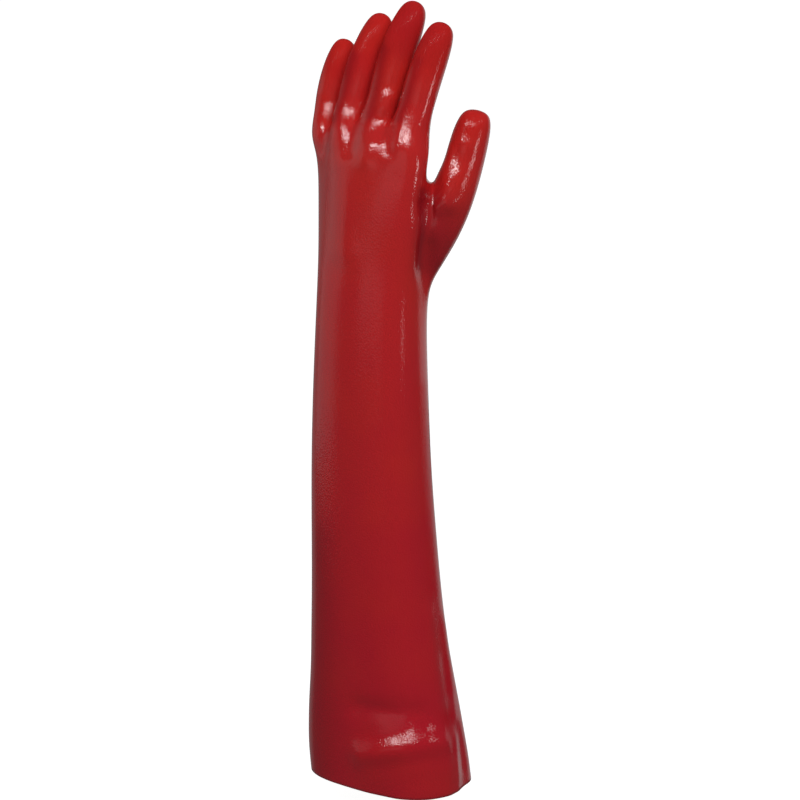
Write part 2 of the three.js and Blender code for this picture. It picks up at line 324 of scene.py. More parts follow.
FINGERS = {
    "index": Finger(0.885, 0.98, 0.324, 0.0, 0.0, 0.225, 0.2, -0.01),
    "middle": Finger(1.0, 1.0, 0.064, 0.02, 0.02, 0.21, 0.2, -0.02),
    "ring": Finger(0.93, 0.95, -0.211, 0.0, 0.06, 0.205, 0.22, -0.03),
    "little": Finger(0.755, 0.87, -0.432, -0.03, 0.25, 0.09, 0.2, -0.04),
}
# A finger's rings: the share of its length, and of its width
FINGER_ROWS = ((0.28, 0.95), (0.43, 0.99), (0.6, 0.99), (0.8, 0.93), (0.95, 0.68))
THUMB_ROWS = (
    ThumbRow(-0.07, 0.155, 0.357, 88, 2.35, 1.3),
    ThumbRow(-0.012, 0.17, 0.461, 70, 1.76, 1.2),
    ThumbRow(0.045, 0.187, 0.571, 50, 1.27, 1.08),
    ThumbRow(0.075, 0.216, 0.7, 30, 1.04, 1.0),
    ThumbRow(0.098, 0.244, 0.85, 14, 0.99, 0.95),
    ThumbRow(0.128, 0.259, 0.972, 12, 0.8, 0.76),
)
STROKES = (
    Stroke("row of knuckles", (332, 130), (410, 148), 20, 2.6),
    Stroke("back of the hand", (372, 205), (392, 225), 40, 2.2),
    Stroke("index knuckle", (407, 150), (415, 122), 8, 1.0),
    Stroke("middle knuckle", (368, 160), (374, 146), 7, 1.7),
    Stroke("ring knuckle", (342, 142), (346, 128), 7, 0.8),
    Stroke("little knuckle", (325, 124), (327, 110), 5, 0.8),
    Stroke("valley by the index", (393, 124), (391, 152), 5, -1.4),
    Stroke("valley by the middle", (362, 120), (352, 152), 5, -1.6),
    Stroke("valley by the ring", (332, 122), (325, 150), 4.5, -1.3),
    Stroke("middle finger's joint", (384, 107), (388, 98), 6, 2.8),
    Stroke("index finger's joint", (412, 84), (415, 72), 8, 0.6),
    Stroke("hollow below the index", (402, 160), (396, 176), 8, -0.7),
    Stroke("thumb's outer ridge", (466, 146), (452, 186), 6, 1.2),
    Stroke("thumb's inner ridge", (452, 148), (446, 182), 4.5, 0.7),
    Stroke("thumb's middle hollow", (458, 150), (449, 180), 3, -0.6),
    Stroke("thumb's root ridge", (446, 194), (436, 206), 5, 1.0),
    Stroke("edge of the hand", (345, 165), (345, 250), 11, 2.5),
    Stroke("crease by the ball of the thumb", (422, 190), (419, 265), 3, -1.0),
    Stroke("hollow by the ball of the thumb", (425, 205), (425, 272), 8, -2.4),
    Stroke("ball of the thumb's line", (437, 222), (441, 262), 3.5, 0.5),
    Stroke("cuff's hollow", (360, 710), (418, 714), 9, -2.4),
    Stroke("cuff's hollow, sharper end", (356, 706), (392, 714), 5, -0.8),
    Stroke("left of the cuff's swell", (378, 752), (396, 750), 9, 1.6),
    Stroke("cuff's swell", (364, 753), (436, 743), 9.5, 4.8),
    Stroke("below the cuff's swell", (376, 774), (444, 768), 14, 2.4),
    Stroke("cuff's lower swell", (400, 796), (440, 792), 8, 1.2),
    Stroke("middle fingertip", (412, 22), (414, 14), 10, 1.0),
    Stroke("index fingertip", (440, 42), (443, 34), 10, 1.0),
    Stroke("ring fingertip", (385, 34), (387, 26), 10, 1.0),
    Stroke("little fingertip", (343, 60), (345, 52), 9, 1.0),
    Stroke("thumb's tip", (475, 132), (472, 142), 10, 1.2),
    Stroke("thumb's knuckle", (456, 182), (450, 196), 12, 2.4),
    Stroke("thumb's root", (446, 204), (440, 208), 6.5, 3.0),
    Stroke("beside the thumb's root", (430, 230), (430, 226), 10, 3.2),
    Stroke("fold of the cuff", (445, 622), (457, 717), 2.6, 0.9),
    Stroke("fold of the cuff, lower", (456, 737), (457, 792), 2.6, 0.8),
    Stroke("valley by the fold", (451, 640), (461, 717), 3.0, -1.1),
    Stroke("valley by the fold, lower", (462, 728), (463, 768), 3.5, -0.8),
)
# Where the surface is smoothed between the thumb and the hand. push is how strongly.
THUMB_FORK = Stroke("fork of the thumb", (432, 182), (433, 196), 8, 1.5)
# Painted shade: where the coat's red is made deeper in place of shade, in the creases, between the fingers,
# by the ball of the thumb, at two fingertips and down the left of the cuff. push is how strongly the painted
# shade covers it.
PAINTED_SHADES = (
    Stroke("crease by the ball of the thumb", (423, 190), (420, 268), 2.5, 0.7),
    Stroke("by the ball of the thumb", (432, 205), (432, 272), 11, 0.65),
    Stroke("ball of the thumb", (450, 215), (442, 262), 12, 0.45),
    Stroke("left of the cuff", (316, 540), (318, 770), 14, 0.45),
    Stroke("middle fingertip", (412, 8), (404, 48), 12, 0.3),
    Stroke("index fingertip", (441, 30), (432, 60), 11, 0.25),
    Stroke("by the ring finger", (336, 118), (354, 55), 4, 0.5),
    Stroke("by the middle finger", (371, 116), (384, 50), 4, 0.5),
    Stroke("by the index finger", (400, 118), (418, 62), 4, 0.5),
)
# Where the photograph shows little or no highlight, which may be the finish, the form or the light. push is
# how strongly the gloss is taken away.
DULLS = (
    Stroke("tip of the little finger", (343, 42), (338, 66), 10, 3.5),
    Stroke("tip of the ring finger", (388, 12), (372, 54), 12, 3.5),
    Stroke("tip of the middle finger", (408, 2), (396, 38), 10, 3.5),
    Stroke("tip of the index finger", (440, 24), (428, 60), 11, 3.5),
    Stroke("tip of the thumb", (473, 114), (472, 128), 8, 1.6),
    Stroke("by the ring finger", (336, 122), (356, 50), 4, 1.8),
    Stroke("by the middle finger", (371, 122), (386, 45), 4, 1.8),
    Stroke("by the index finger", (400, 122), (420, 60), 4, 1.8),
    Stroke("right of the sleeve", (424, 390), (434, 590), 6, 1.1),
    Stroke("by the fold of the cuff", (446, 615), (450, 690), 5, 2.6),
    Stroke("left of the little knuckle", (324, 98), (324, 118), 3.5, 1.2),
    Stroke("right end of the cuff's swell", (449, 716), (452, 748), 5, 3.0),
    Stroke("cuff's swell", (366, 744), (424, 733), 9, 0.6),
    Stroke("front of the thumb", (470, 150), (462, 185), 4, 0.5),
)
FOLDS = (
    Fold(0.36, 354, 0.0, 350, 0.06, 0.015),
    Fold(0.26, 370, 0.0, 370, 0.07, -0.014),
)


@dataclass
class GloveShell:
    """The dipped glove: cuff, sleeve, palm, thumb and fingers in one hollow shell.

    web_depth is how far below a finger's stand its own axis starts, knuckle_drop how far below it the row of
    knuckles lies, and web_rise how far above it the web beside the longest finger reaches. palm_square is the
    exponent of the palm's oval. knuckle_swell is how far the index knuckle stands out, as a share of its
    finger's half width. valley is the depth of a valley between two knuckles, as a share of theirs, and
    valley_drop how much lower it starts on the back of the hand. The thumb leans thumb_turn degrees from the
    hand's side toward the palm, and ends thumb_cap of its width above its last ring. columns and finger_sides
    are the points in the cage's rings, and levels is how often it is subdivided.

    relax_steps smooth the fork of the thumb. fade is how fast the strokes come in as the surface turns to the
    camera. Where the surface crosses itself, untangle_steps move its points untangle_share of the way to
    their neighbours' middle, in up to untangle_rounds. Where the wall would cross anything it is thinned to
    wall_step of itself, in up to wall_rounds, and never below least_wall of the whole.
    """

    sleeve_length: float = 382 * MM
    palm_length: float = 121 * MM
    wall: float = 1.4 * MM
    cuff_width: float = 129 * MM
    cuff_depth: float = 89 * MM
    wrist_width: float = 83 * MM
    wrist_depth: float = 66 * MM
    palm_width: float = 106 * MM
    palm_depth: float = 49 * MM
    knuckle_depth: float = 34 * MM
    finger_length: float = 110 * MM
    finger_width: float = 27.5 * MM
    finger_depth: float = 26 * MM
    thumb_length: float = 140 * MM
    thumb_width: float = 29 * MM
    thumb_depth: float = 28 * MM
    web_depth: float = 9 * MM
    web_rise: float = 14 * MM
    knuckle_drop: float = 1 * MM
    palm_square: float = 2.1
    knuckle_swell: float = 1.2
    valley: float = 0.72
    valley_drop: float = 1.3
    thumb_turn: float = 36
    thumb_cap: float = 0.16
    columns: int = 20
    finger_sides: int = 8
    levels: int = 3
    relax_steps: int = 40
    fade: float = 2
    untangle_rounds: int = 30
    untangle_share: float = 0.5
    untangle_steps: int = 4
    wall_rounds: int = 30
    wall_step: float = 0.8
    least_wall: float = 0.04

    def oval(self, turn: float, half_width: float, half_depth: float, square: float) -> Vector:
        """A place on a squared oval.

        Args:
            turn: the place's angle, in radians.
            half_width: half the oval's width.
            half_depth: half its depth.
            square: its exponent, 2 for a plain oval and more for a squarer one.

        Returns:
            The place, measured from the oval's middle.
        """
        c, s = math.cos(turn), math.sin(turn)
        x = math.copysign(abs(c) ** (2 / square), c) * half_width
        y = math.copysign(abs(s) ** (2 / square), s) * half_depth
        return Vector((x, y, 0))

    @property
    def wrist_middle(self) -> Vector:
        """The middle of the wrist."""
        top = SLEEVE_ROWS[-1]
        return Vector((top.shift_x * self.cuff_width, top.shift_y * self.cuff_depth, self.sleeve_length))

    def turns(self) -> list[float]:
        """The angle of each column of the cage."""
        return [2 * math.pi * i / self.columns for i in range(self.columns)]

    def sleeve_ring(self, row: SleeveRow) -> Places:
        """One ring of the sleeve.

        Args:
            row: the ring's height, size and oval.

        Returns:
            Its places.
        """
        full = fullness(self.columns) / 2
        half_width = mix(self.wrist_width, self.cuff_width, row.flare) * full
        half_depth = mix(self.wrist_depth, self.cuff_depth, row.flare) * full
        middle = Vector((row.shift_x * self.cuff_width, row.shift_y * self.cuff_depth,
                         row.rise * self.sleeve_length))
        return [self.oval(turn, half_width, half_depth, row.square) + middle for turn in self.turns()]

    def stand(self, finger: Finger) -> Vector:
        """Where a finger stands, measured from the middle of the wrist."""
        return Vector((finger.place * self.palm_width, finger.back * self.knuckle_depth,
                       (1 + finger.rise) * self.palm_length))

    def half(self, finger: Finger) -> float:
        """Half a finger's width."""
        return finger.width * self.finger_width / 2

    def gaps(self) -> Places:
        """The gaps between the fingers.

        Returns:
            The place halfway from the edge of each finger to the edge of the next.
        """
        fingers = list(FINGERS.values())
        places = []
        for one, other in zip(fingers, fingers[1:]):
            a, b = self.stand(one), self.stand(other)
            x = (a.x - self.half(one) + b.x + self.half(other)) / 2
            places.append(Vector((x, (a.y + b.y) / 2, (a.z + b.z) / 2)))
        return places

    def knuckle_ring(self) -> Places:
        """The row of knuckles.

        Returns:
            One place for each column, measured from the middle of the wrist.
        """
        half = self.knuckle_depth / 2 * fullness(self.finger_sides)
        ring: Places = [Vector()] * self.columns
        web = self.knuckle_drop
        gaps = self.gaps()
        fingers = list(FINGERS.values())
        for i, finger in enumerate(fingers):
            stand = self.stand(finger)
            ring[2 * i + 2] = stand + Vector((0, half, -web))
            ring[self.columns - 2 * i - 2] = stand + Vector((0, -half, -web))
            if i < len(gaps):
                ring[2 * i + 3] = gaps[i] + Vector((0, half * self.valley, -web))
                ring[self.columns - 2 * i - 3] = gaps[i] + Vector(
                    (0, -half * self.valley, -web * self.valley_drop))
        corner = math.sqrt(0.5)
        middle = self.columns // 2
        ends = ((fingers[0], self.knuckle_swell, 0, 1, self.columns - 1),
                (fingers[-1], -1, middle, middle - 1, middle + 1))
        for finger, side, end, palm, back in ends:
            stand, wide = self.stand(finger), side * self.half(finger)
            ring[end] = stand + Vector((wide * fullness(self.columns), 0, -web))
            ring[palm] = stand + Vector((wide * corner, half * corner, -web))
            ring[back] = stand + Vector((wide * corner, -half * corner, -web))
        return ring

    def palm_ring(self, row: PalmRow, knuckles: Places) -> Places:
        """One ring of the palm, between the wrist's oval and the knuckles.

        Args:
            row: the ring's height, size and form.
            knuckles: the row of knuckles.

        Returns:
            Its places.
        """
        full = fullness(self.columns) / 2
        half_width = mix(self.wrist_width, self.palm_width, row.spread) * full
        half_depth = mix(self.wrist_depth, self.palm_depth, row.thin) * full
        turn = math.radians(row.turn)
        ring = []
        for angle, knuckle in zip(self.turns(), knuckles):
            place = self.oval(angle, half_width, half_depth, self.palm_square)
            wide = knuckle.x * 2 * half_width / self.palm_width
            x = mix(place.x, wide, row.form) + row.shift * self.palm_width
            y = mix(place.y, knuckle.y, row.form ** 2)
            z = row.rise * self.palm_length + (knuckle.z - self.palm_length + self.web_depth) * row.form
            turned = (x * math.cos(turn) - y * math.sin(turn), x * math.sin(turn) + y * math.cos(turn), z)
            ring.append(Vector(turned) + self.wrist_middle)
        return ring

    @staticmethod
    def axis_ring(sides: int, middle: Vector, across: Vector, front: Vector) -> Places:
        """The places of a ring round an axis.

        Args:
            sides: the number of places.
            middle: the ring's middle.
            across: from the middle to the first place.
            front: from the middle to the place a quarter of the way round.

        Returns:
            The places, in order.
        """
        turns = [2 * math.pi * i / sides for i in range(sides)]
        return [middle + across * math.cos(turn) + front * math.sin(turn) for turn in turns]

    def build_finger(self, cage: Cage, finger: Finger, base: Places) -> None:
        """Extrudes one finger.

        Args:
            cage: the glove's cage.
            finger: the finger's sizes and lean.
            base: the ring of its knuckle, with the ring's middle last.
        """
        length = finger.length * self.finger_length
        start = self.stand(finger) + self.wrist_middle - Vector((0, 0, self.web_depth))
        tip = Vector((finger.lean, finger.curl, 1)).normalized() * length
        sides = len(base) - 1

        def spine(share: float) -> Vector:
            """The place a share of the way along the finger."""
            bow = Vector((finger.bow * length * 4 * share * (1 - share), 0, 0))
            return start + tip * share + bow + Vector((0, tip.y * (share * share - share), 0))

        near = 0.01
        lower = base
        for along, wide in FINGER_ROWS:
            middle = spine(along)
            axis = (spine(along + near) - spine(along - near)).normalized()
            palmward = (Vector((0, 1, 0)) - axis * axis.y).normalized()
            across = palmward.cross(axis)
            half = finger.width * wide * fullness(sides) / 2
            ring = self.axis_ring(sides, middle, across * self.finger_width * half,
                                  palmward * self.finger_depth * half)
            cap = spine(1.0) if along == FINGER_ROWS[-1][0] else middle
            lower = cage.pull(lower, ring + [cap])

    def build_thumb(self, cage: Cage, patch: list[Places]) -> None:
        """Extrudes the thumb from the faces in the palm's side.

        Args:
            cage: the glove's cage.
            patch: rows of three places from the lowest up, which bound the faces the thumb grows from.
        """
        turn = math.radians(self.thumb_turn)
        outward = Vector((math.cos(turn), math.sin(turn), 0))
        front = Vector((outward.y, -outward.x, 0))
        root = Vector((self.palm_width / 2, 0, 0)) + self.wrist_middle
        back, middle, palm = (list(column) for column in zip(*patch))
        opening = [middle[-1], *reversed(back), middle[0], *palm]
        lower = opening + [middle[2], middle[1]]
        sides = len(opening)
        for row in THUMB_ROWS:
            tilt = math.radians(row.tilt)
            axis = outward * math.sin(tilt) + Vector((0, 0, math.cos(tilt)))
            across = front.cross(axis)
            centre = root + Vector((row.out, row.back, row.up)) * self.thumb_length
            full = fullness(sides) / 2
            ring = self.axis_ring(sides, centre, across * self.thumb_width * row.wide * full,
                                  front * self.thumb_depth * row.deep * full)
            rise = axis * self.thumb_width * self.thumb_cap
            # Two places inside the ring, which close it, each between two places across from each other
            near, far = (ring[2] + ring[8]) / 2 + rise, (ring[3] + ring[7]) / 2 + rise
            lower = cage.pull(lower, ring + [near, far])

    def build_cage(self) -> bpy.types.Object:
        """Models the coarse cage of the whole glove.

        Returns:
            The cage's object.
        """
        rings = [self.sleeve_ring(row) for row in SLEEVE_ROWS]
        knuckles = self.knuckle_ring()
        palm = [rings[-1]] + [self.palm_ring(row, knuckles) for row in PALM_ROWS]
        palm.append([place + self.wrist_middle for place in knuckles])
        rings += palm[1:]
        cage = Cage("glove", rings[0])
        for lower, upper in zip(rings, rings[1:]):
            cage.pull(lower, upper)
        self.close_hand(cage, rings[-1])
        self.build_thumb(cage, [ring[1:4] for ring in palm[:4]])
        return cage.finish()

    def close_hand(self, cage: Cage, top: Places) -> None:
        """Closes the hand between the knuckles and extrudes the fingers there.

        Args:
            cage: the glove's cage.
            top: the row of knuckles.
        """
        lengths = [finger.length for finger in FINGERS.values()]
        lifts = [self.web_rise * min(pair) for pair in zip(lengths, lengths[1:])]
        webs = [gap + self.wrist_middle + Vector((0, 0, lift)) for gap, lift in zip(self.gaps(), lifts)]
        middle = self.columns // 2
        for i, web in enumerate(webs):
            cage.pull([top[-2 * i - 3]], [web])
        bases = []
        for i, finger in enumerate(FINGERS.values()):
            right = top[0] if i == 0 else webs[i - 1]
            left = top[middle] if i == len(webs) else webs[i]
            palm_side = [top[2 * i + step] for step in (1, 2, 3)]
            back_side = [top[self.columns - 2 * i - step] for step in (3, 2, 1)]
            base = [right, *palm_side, left, *back_side]
            crown = self.stand(finger) + self.wrist_middle - Vector((0, 0, self.web_depth / 2))
            cage.pull([back_side[1]], [crown])
            for k in range(1, len(base), 2):
                cage.fill([base[k - 1], base[k], base[(k + 1) % len(base)], crown])
            bases.append(base + [crown])
        for finger, base in zip(FINGERS.values(), bases):
            self.build_finger(cage, finger, base)

    def build(self, studio: "Studio") -> bpy.types.Object:
        """Models the glove and gives it its wall.

        Args:
            studio: the camera that the strokes are placed by.

        Returns:
            The finished piece.
        """
        glove = self.build_cage()
        self.apply(glove, "SUBSURF", levels=self.levels, render_levels=self.levels)
        self.shape(glove, studio)
        glove.data.materials.append(PvcCoat().build())
        glove.data.materials.append(CottonJersey().build())
        # The wall grows inward. Its inside takes the jersey, and its rim the coat
        self.apply(glove, "SOLIDIFY", thickness=self.wall, offset=-1, vertex_group="wall",
                   material_offset=1, material_offset_rim=0)
        glove.data.shade_smooth()
        return glove

    @staticmethod
    def apply(piece: bpy.types.Object, kind: str, **settings: float) -> None:
        """Adds a modifier to a piece and applies it.

        Args:
            piece: the piece.
            kind: the modifier's type.
            settings: the modifier's own settings.
        """
        modifier = piece.modifiers.new(kind.lower(), kind)
        for name, value in settings.items():
            setattr(modifier, name, value)
        bpy.context.view_layer.objects.active = piece
        bpy.ops.object.modifier_apply(modifier=modifier.name)

    def sleeve_middle(self, rise: np.ndarray) -> tuple[np.ndarray, np.ndarray]:
        """The sleeve's middle.

        Args:
            rise: heights, as shares of the sleeve's length.

        Returns:
            The middle's x and y at each height.
        """
        rises = [row.rise for row in SLEEVE_ROWS]
        x = np.interp(rise, rises, [row.shift_x * self.cuff_width for row in SLEEVE_ROWS])
        y = np.interp(rise, rises, [row.shift_y * self.cuff_depth for row in SLEEVE_ROWS])
        return x, y

    def fold_heights(self, points: np.ndarray) -> np.ndarray:
        """How far the folds push each point of the sleeve.

        Args:
            points: the surface's points.

        Returns:
            The push at each point, which is 0 above the sleeve.
        """
        rise = points[:, 2] / self.sleeve_length
        x, y = self.sleeve_middle(rise)
        dx, dy = points[:, 0] - x, points[:, 1] - y
        radius = np.hypot(dx, dy)
        turn = np.degrees(np.arctan2(dy, dx))
        total = np.zeros(len(points))
        for fold in FOLDS:
            # The angle from the fold, from half a turn back to half a turn on
            past = (turn - fold.turn + 2.5 * TURN) % TURN - TURN / 2
            around = np.radians(past) * radius
            up = points[:, 2] - fold.rise * self.sleeve_length
            line_around = math.radians(fold.turn2 - fold.turn) * radius
            line_up = (fold.rise2 - fold.rise) * self.sleeve_length
            share = np.clip((around * line_around + up * line_up) / (line_around ** 2 + line_up ** 2), 0, 1)
            away = np.hypot(around - line_around * share, up - line_up * share)
            total += fold.push * self.cuff_depth * np.exp(-(away / (fold.reach * self.cuff_width)) ** 2)
        return np.where(rise > 1, 0, total)

    @staticmethod
    def stroke_heights(strokes: Sequence[Stroke], pixels: np.ndarray, length: float) -> np.ndarray:
        """The sum of some strokes.

        Args:
            strokes: which strokes.
            pixels: where each point lies in the photograph.
            length: the millimetres that one pixel spans.

        Returns:
            The sum at each point.
        """
        total = np.zeros(len(pixels))
        for stroke in strokes:
            start, end = np.array(stroke.start, float), np.array(stroke.end, float)
            line = end - start
            share = np.clip((pixels - start) @ line / (line @ line), 0, 1)
            away = np.linalg.norm(pixels - start - share[:, None] * line, axis=1) * length
            total += stroke.push * np.exp(-(away / stroke.reach) ** 2)
        return total

    @staticmethod
    def relax(points: np.ndarray, edges: np.ndarray, share: np.ndarray, steps: int) -> None:
        """Moves points toward the middle of their neighbours.

        Args:
            points: the surface's points, which are moved.
            edges: the two points of each edge.
            share: how much of the way each point goes in one step.
            steps: how many steps.
        """
        count = np.bincount(edges.ravel(), minlength=len(points))[:, None]
        for _ in range(steps):
            total = np.zeros_like(points)
            np.add.at(total, edges[:, 0], points[edges[:, 1]])
            np.add.at(total, edges[:, 1], points[edges[:, 0]])
            points += (total / count - points) * share[:, None]

    @staticmethod
    def crossing(points: np.ndarray, faces: list[tuple[int, ...]]) -> list[int]:
        """Finds faces that cross each other and share no corner.

        Args:
            points: the surface's points.
            faces: the corners of each face.

        Returns:
            The corners of those faces.
        """
        tree = BVHTree.FromPolygons(points.tolist(), faces)
        pairs = [pair for pair in tree.overlap(tree) if not set(faces[pair[0]]) & set(faces[pair[1]])]
        return sorted({corner for pair in pairs for face in pair for corner in faces[face]})

    @staticmethod
    def spread(found: np.ndarray, edges: np.ndarray) -> np.ndarray:
        """Adds their neighbours to some points.

        Args:
            found: whether each point is one of them.
            edges: the two points of each edge.

        Returns:
            Whether each point is one of them or next to one.
        """
        wider = found.copy()
        wider[edges[found[edges[:, 0]], 1]] = True
        wider[edges[found[edges[:, 1]], 0]] = True
        return wider

    def untangle(self, points: np.ndarray, edges: np.ndarray, faces: list[tuple[int, ...]]) -> None:
        """Smooths the surface where its faces cross.

        Args:
            points: the surface's points, which are moved.
            edges: the two points of each edge.
            faces: the corners of each face.
        """
        for _ in range(self.untangle_rounds):
            corners = self.crossing(points, faces)
            if not corners:
                break
            found = np.zeros(len(points), dtype=bool)
            found[corners] = True
            found = self.spread(self.spread(found, edges), edges)
            self.relax(points, edges, found * self.untangle_share, self.untangle_steps)

    def wall_shares(self, points: np.ndarray, normals: np.ndarray, edges: np.ndarray,
                    faces: list[tuple[int, ...]]) -> np.ndarray:
        """Thins the wall where the faces of its inside would cross the surface or each other.

        The webs beside the thumb and between the fingers are thinner than two walls. The faces have four
        corners here, so a few of the triangles that they are later cut into may still cross inside.

        Args:
            points: the surface's points.
            normals: its direction at each of them.
            edges: the two points of each edge.
            faces: the corners of each face.

        Returns:
            How much of the wall's thickness each point gets.
        """
        shares = np.ones(len(points))
        both = faces + [tuple(corner + len(points) for corner in face) for face in faces]
        for _ in range(self.wall_rounds):
            inside = points - normals * (self.wall * shares)[:, None]
            corners = self.crossing(np.vstack([points, inside]), both)
            if not corners:
                break
            found = np.zeros(len(points), dtype=bool)
            found[np.array(corners) % len(points)] = True
            shares[self.spread(found, edges)] *= self.wall_step
            shares = np.maximum(shares, self.least_wall)
        return shares

    @staticmethod
    def read(items: bpy.types.bpy_prop_collection, name: str, width: int, kind: type = float) -> np.ndarray:
        """Reads one property of all the points or edges of a mesh.

        Args:
            items: the points or edges.
            name: the property.
            width: how many numbers it has.
            kind: the numbers' type.

        Returns:
            A row for each point or edge.
        """
        values = np.empty(len(items) * width, dtype=kind)
        items.foreach_get(name, values)
        return values.reshape(-1, width)

    def shape(self, glove: bpy.types.Object, studio: "Studio") -> None:
        """Presses the folds and strokes into the smooth surface, thins its wall and marks its coat.

        Args:
            glove: the subdivided glove, before it has its wall.
            studio: the camera that the strokes are placed by.
        """
        mesh = glove.data
        points = self.read(mesh.vertices, "co", 3)
        normals = self.read(mesh.vertices, "normal", 3)
        edges = self.read(mesh.edges, "vertices", 2, np.int64)
        pixels, facing = studio.project(points, normals)
        length = studio.pixel / MM
        fork = np.clip(self.stroke_heights((THUMB_FORK,), pixels, length), 0, 1)
        self.relax(points, edges, fork, self.relax_steps)
        points += normals * (1, 1, 0) * self.fold_heights(points)[:, None]
        seen = np.clip(facing * self.fade, 0, 1)
        points += normals * (self.stroke_heights(STROKES, pixels, length) * seen * MM)[:, None]
        faces = [tuple(face.vertices) for face in mesh.polygons]
        self.untangle(points, edges, faces)
        mesh.vertices.foreach_set("co", points.ravel())
        mesh.update()
        normals = self.read(mesh.vertices, "normal", 3)
        group = glove.vertex_groups.new(name="wall")
        for index, share in enumerate(self.wall_shares(points, normals, edges, faces)):
            group.add([index], share, "REPLACE")
        # The painted shade and the places with less gloss are marked on the points for the coat
        for mark, strokes in ((Mark.POOL, PAINTED_SHADES), (Mark.DULL, DULLS)):
            strength = 1 - np.exp(-self.stroke_heights(strokes, pixels, length) * seen)
            mesh.attributes.new(mark.value, "FLOAT", "POINT").data.foreach_set("value", strength)
        mesh.update()


def new_material(name: str) -> bpy.types.Material:
    """Starts a material.

    Args:
        name: its name.

    Returns:
        The material, with its nodes in use.
    """
    material = bpy.data.materials.new(name)
    material.use_nodes = True
    return material


class NodeTree:
    """The nodes of one material or of the world."""

    def __init__(self, tree: bpy.types.NodeTree) -> None:
        """Empties a tree of nodes.

        Args:
            tree: the tree.
        """
        self.nodes = tree.nodes
        self.links = tree.links
        self.nodes.clear()

    def add(self, kind: str, values: dict | None = None, **settings: object) -> bpy.types.Node:
        """Adds a node.

        Args:
            kind: the node's type.
            values: for each input, by its name or place, a value or the output that feeds it.
            settings: the node's own properties.

        Returns:
            The node.
        """
        node = self.nodes.new(kind)
        for name, value in settings.items():
            setattr(node, name, value)
        for name, value in (values or {}).items():
            if isinstance(value, bpy.types.NodeSocket):
                self.links.new(value, node.inputs[name])
            else:
                node.inputs[name].default_value = value
        return node


# Dipped and cured plastisol gives the eye a smooth, wet-looking red with clear highlights. The jersey
# under it tells through as a fine pebble that breaks up the small ones.
@dataclass(frozen=True)
class PvcCoat:
    """Dipped PVC over jersey.

    colour is the red near the fingertips and low_shaded_colour the red near the cuff. The red goes from one
    to the other between the heights low and high, by height_share each way from the middle, as painted
    shading: lighter toward the hand and darker toward the cuff. It drifts a little in patches as wide as
    drift. painted_shade_colour is the red of the painted shade, which darkens the creases, the gaps between
    the fingers, the ball of the thumb, two fingertips and the left of the cuff. gloss is the specular level,
    and dull_gloss that of a dull place. pebble is the width of one pebble, about a stitch of the jersey and
    less than two pixels of the photograph, and pebble_depth is how high it stands.
    """

    colour: str = "c92823"
    low_shaded_colour: str = "be1a2a"
    painted_shade_colour: str = "80101f"
    drift: float = 45 * MM
    drift_detail: float = 3.0
    low: float = 120 * MM
    high: float = 480 * MM
    height_share: float = 0.35
    roughness: float = 0.09
    gloss: float = 0.5
    dull_gloss: float = 0.0
    ior: float = 1.5
    pebble: float = 1.3 * MM
    pebble_detail: float = 1.0
    pebble_roughness: float = 0.45
    pebble_depth: float = 0.15 * MM

    def build(self) -> bpy.types.Material:
        """Makes the coat's material.

        Returns:
            The material.
        """
        material = new_material("dipped_pvc")
        tree = NodeTree(material.node_tree)
        place = tree.add("ShaderNodeTexCoord").outputs["Object"]
        drift = tree.add("ShaderNodeTexNoise", {"Vector": place, "Scale": 1 / self.drift,
                                                 "Detail": self.drift_detail})
        # Painted shading: the red is lighter toward the hand and darker toward the cuff, standing in for how
        # the light falls
        height = tree.add("ShaderNodeMapRange", {
            "Value": tree.add("ShaderNodeSeparateXYZ", {"Vector": place}).outputs["Z"],
            "From Min": self.low, "From Max": self.high, "To Min": -self.height_share,
            "To Max": self.height_share})
        share = tree.add("ShaderNodeMath", {0: drift.outputs["Fac"], 1: height.outputs["Result"]},
                         operation="ADD", use_clamp=True)
        tint = tree.add("ShaderNodeMix", {"Factor": share.outputs["Value"], "A": linear(self.low_shaded_colour),
                                          "B": linear(self.colour)}, data_type="RGBA")
        # Painted shade: a darker red where the points are marked, standing in for shade
        painted_shade = tree.add("ShaderNodeAttribute", attribute_name=Mark.POOL.value)
        deep = tree.add("ShaderNodeMix", {"Factor": painted_shade.outputs["Fac"], "A": tint.outputs["Result"],
                                          "B": linear(self.painted_shade_colour)}, data_type="RGBA")
        dull = tree.add("ShaderNodeAttribute", attribute_name=Mark.DULL.value)
        gloss = tree.add("ShaderNodeMapRange", {"Value": dull.outputs["Fac"], "To Min": self.gloss,
                                                "To Max": self.dull_gloss})
        grain = tree.add("ShaderNodeTexNoise", {"Vector": place, "Scale": 1 / self.pebble,
                                                "Detail": self.pebble_detail,
                                                "Roughness": self.pebble_roughness})
        bump = tree.add("ShaderNodeBump", {"Height": grain.outputs["Fac"], "Distance": self.pebble_depth,
                                           "Strength": 1.0})
        shader = tree.add("ShaderNodeBsdfPrincipled", {
            "Base Color": deep.outputs["Result"], "Roughness": self.roughness, "IOR": self.ior,
            "Specular IOR Level": gloss.outputs["Result"], "Normal": bump.outputs["Normal"]})
        tree.add("ShaderNodeOutputMaterial", {"Surface": shader.outputs["BSDF"]})
        return material


